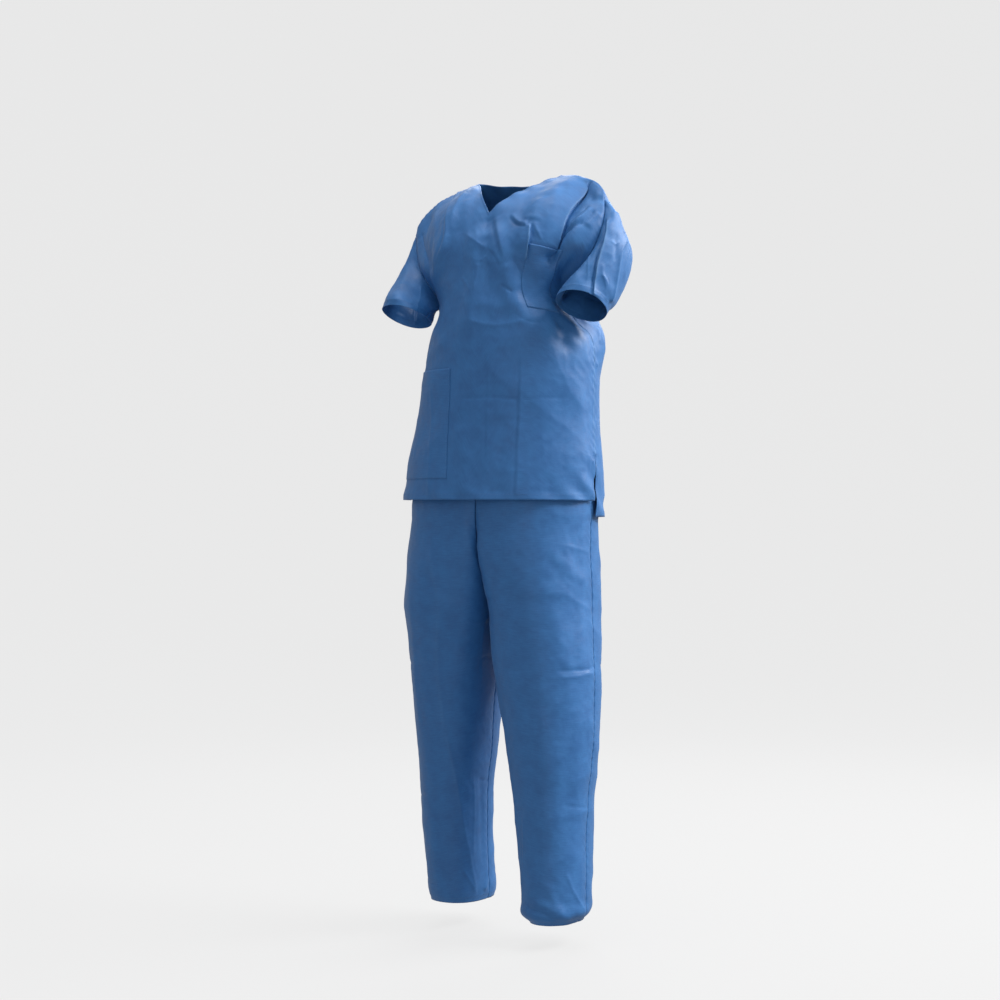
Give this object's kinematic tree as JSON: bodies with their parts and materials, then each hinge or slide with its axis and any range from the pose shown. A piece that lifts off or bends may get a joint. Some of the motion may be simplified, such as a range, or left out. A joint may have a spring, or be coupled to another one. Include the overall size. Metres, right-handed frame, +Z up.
{
  "type": "scrub suit",
  "caption": "Hollow worn scrub suit: boxy V-neck tunic with short sleeves, patch pockets and side slits over wide straight trousers with an elastic waist",
  "frame": {"origin": "middle of the neck opening, level with the high points of the shoulders, where the garment hangs on its wearer", "axes": "+Z up, the garment faces -Y, and +X is the wearer's left"},
  "size_m": [0.4966, 0.324, 1.4665],
  "materials": {
    "cloth_blue": "light non-woven cloth with a soft satin sheen"
  },
  "bodies": {
    "root": {"top_front": "cloth_blue", "top_back": "cloth_blue", "sleeve_left": "cloth_blue", "sleeve_right": "cloth_blue", "chest_pocket": "cloth_blue", "hip_pocket": "cloth_blue", "leg_front_right": "cloth_blue", "leg_front_left": "cloth_blue", "leg_back_right": "cloth_blue", "leg_back_left": "cloth_blue", "waistband": "cloth_blue"}
  },
  "joints": []
}
